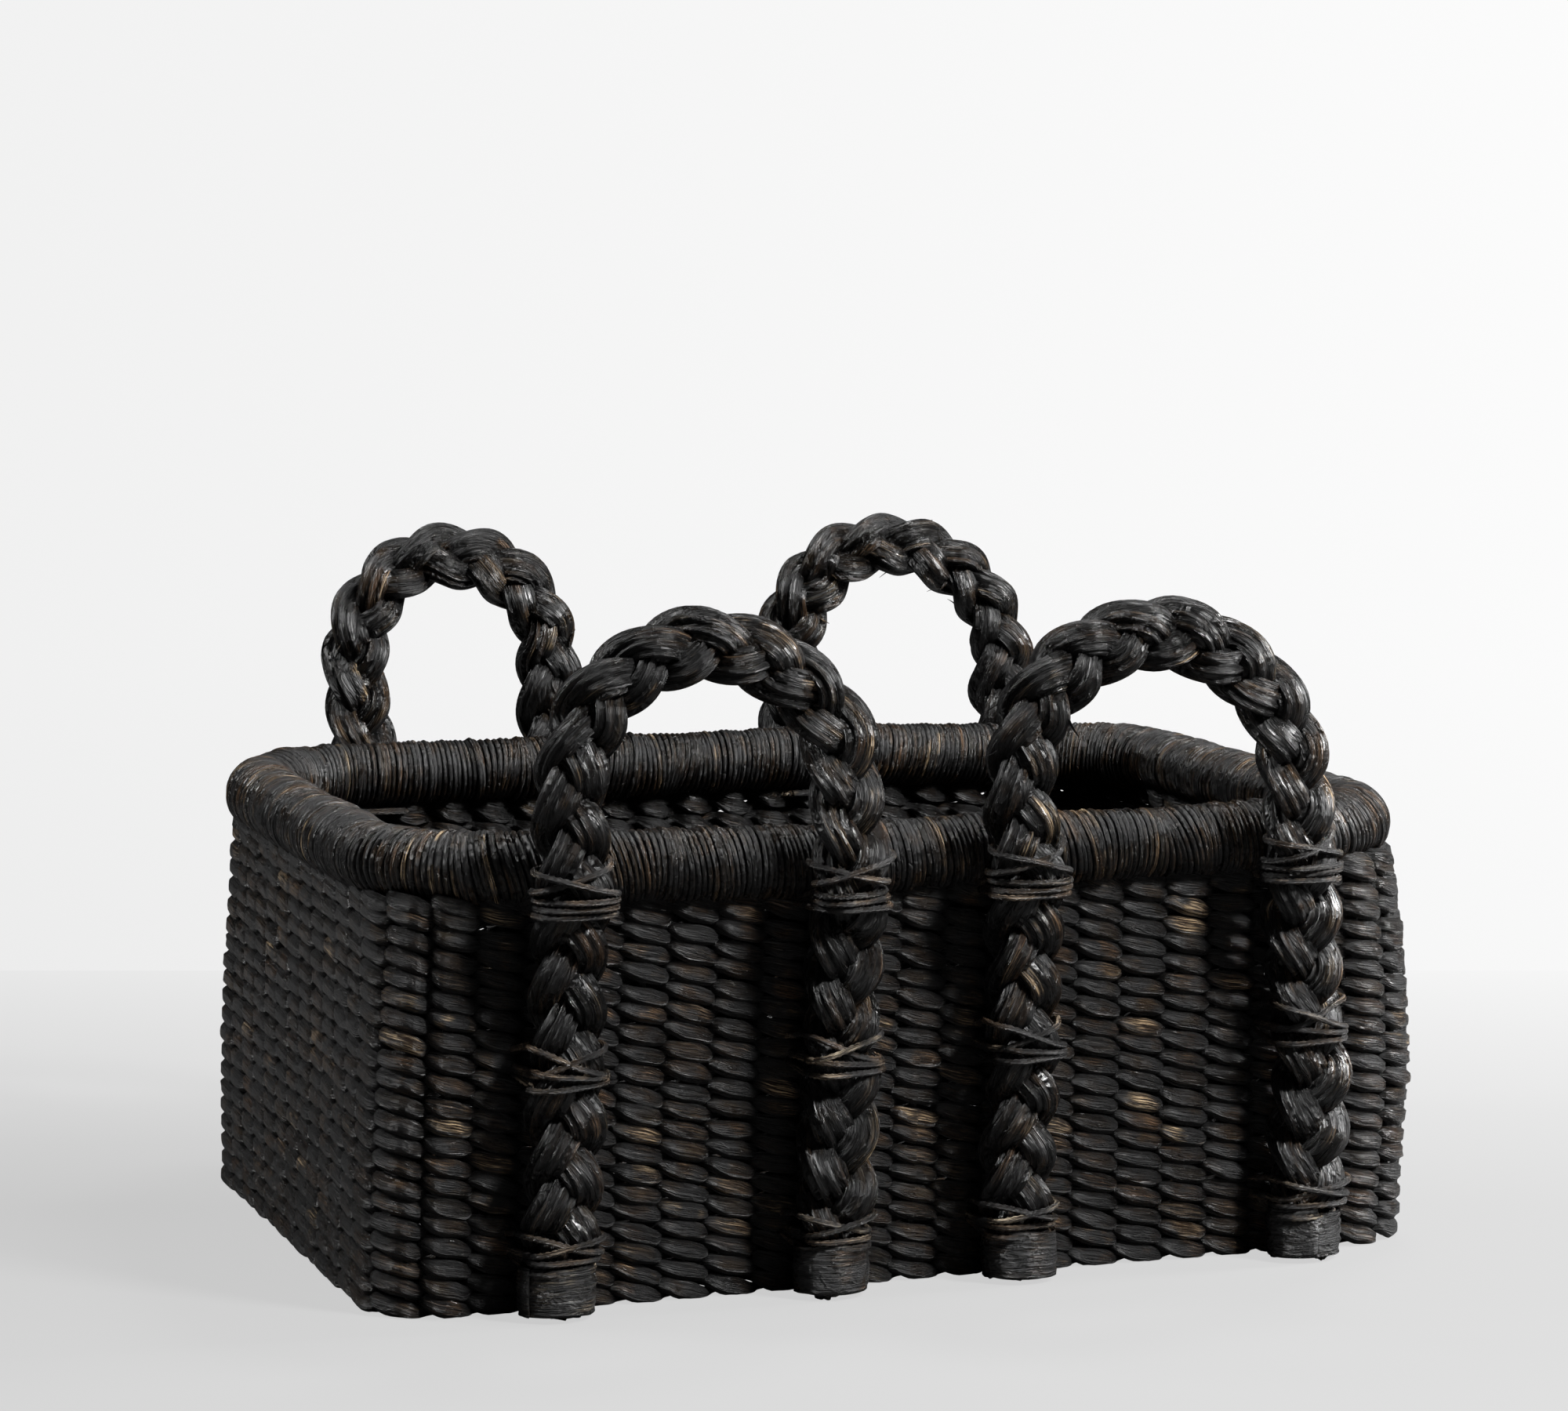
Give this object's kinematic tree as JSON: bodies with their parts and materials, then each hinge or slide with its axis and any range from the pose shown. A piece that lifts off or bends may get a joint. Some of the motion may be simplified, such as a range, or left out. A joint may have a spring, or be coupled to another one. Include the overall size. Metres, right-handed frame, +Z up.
{
  "type": "laundry basket",
  "caption": "Rectangular hand woven laundry basket in black stained water hyacinth, with a cord wrapped rim and plaited carrying handles lashed to its long sides.",
  "frame": {"origin": "middle of the base, on the surface the basket stands on", "axes": "+X along the basket's long side, -Y its front, +Z up"},
  "size_m": [0.6098, 0.4936, 0.3875],
  "materials": {
    "woven_hyacinth": "matte",
    "plaited_hyacinth": "satin",
    "rim_cord": "matte",
    "leaf_binding": "satin",
    "twine": "matte",
    "rattan": "matte"
  },
  "bodies": {
    "root": {"woven_wall": "woven_hyacinth", "woven_base": "woven_hyacinth", "cross_stakes": "rattan", "long_stakes": "rattan", "corner_stakes": "rattan", "rim_core": "rattan", "rim_wrapping": "rim_cord", "front_left_handle_strand_1": "plaited_hyacinth", "front_left_handle_strand_2": "plaited_hyacinth", "front_left_handle_strand_3": "plaited_hyacinth", "front_left_handle_left_leg_binding": "leaf_binding", "front_left_handle_left_leg_low_lashing": "twine", "front_left_handle_left_leg_middle_lashing": "twine", "front_left_handle_left_leg_top_lashing": "twine", "front_left_handle_right_leg_binding": "leaf_binding", "front_left_handle_right_leg_low_lashing": "twine", "front_left_handle_right_leg_middle_lashing": "twine", "front_left_handle_right_leg_top_lashing": "twine", "front_right_handle_strand_1": "plaited_hyacinth", "front_right_handle_strand_2": "plaited_hyacinth", "front_right_handle_strand_3": "plaited_hyacinth", "front_right_handle_left_leg_binding": "leaf_binding", "front_right_handle_left_leg_low_lashing": "twine", "front_right_handle_left_leg_middle_lashing": "twine", "front_right_handle_left_leg_top_lashing": "twine", "front_right_handle_right_leg_binding": "leaf_binding", "front_right_handle_right_leg_low_lashing": "twine", "front_right_handle_right_leg_middle_lashing": "twine", "front_right_handle_right_leg_top_lashing": "twine", "back_left_handle_strand_1": "plaited_hyacinth", "back_left_handle_strand_2": "plaited_hyacinth", "back_left_handle_strand_3": "plaited_hyacinth", "back_left_handle_left_leg_binding": "leaf_binding", "back_left_handle_left_leg_low_lashing": "twine", "back_left_handle_left_leg_middle_lashing": "twine", "back_left_handle_left_leg_top_lashing": "twine", "back_left_handle_right_leg_binding": "leaf_binding", "back_left_handle_right_leg_low_lashing": "twine", "back_left_handle_right_leg_middle_lashing": "twine", "back_left_handle_right_leg_top_lashing": "twine", "back_right_handle_strand_1": "plaited_hyacinth", "back_right_handle_strand_2": "plaited_hyacinth", "back_right_handle_strand_3": "plaited_hyacinth", "back_right_handle_left_leg_binding": "leaf_binding", "back_right_handle_left_leg_low_lashing": "twine", "back_right_handle_left_leg_middle_lashing": "twine", "back_right_handle_left_leg_top_lashing": "twine", "back_right_handle_right_leg_binding": "leaf_binding", "back_right_handle_right_leg_low_lashing": "twine", "back_right_handle_right_leg_middle_lashing": "twine", "back_right_handle_right_leg_top_lashing": "twine"}
  },
  "joints": []
}
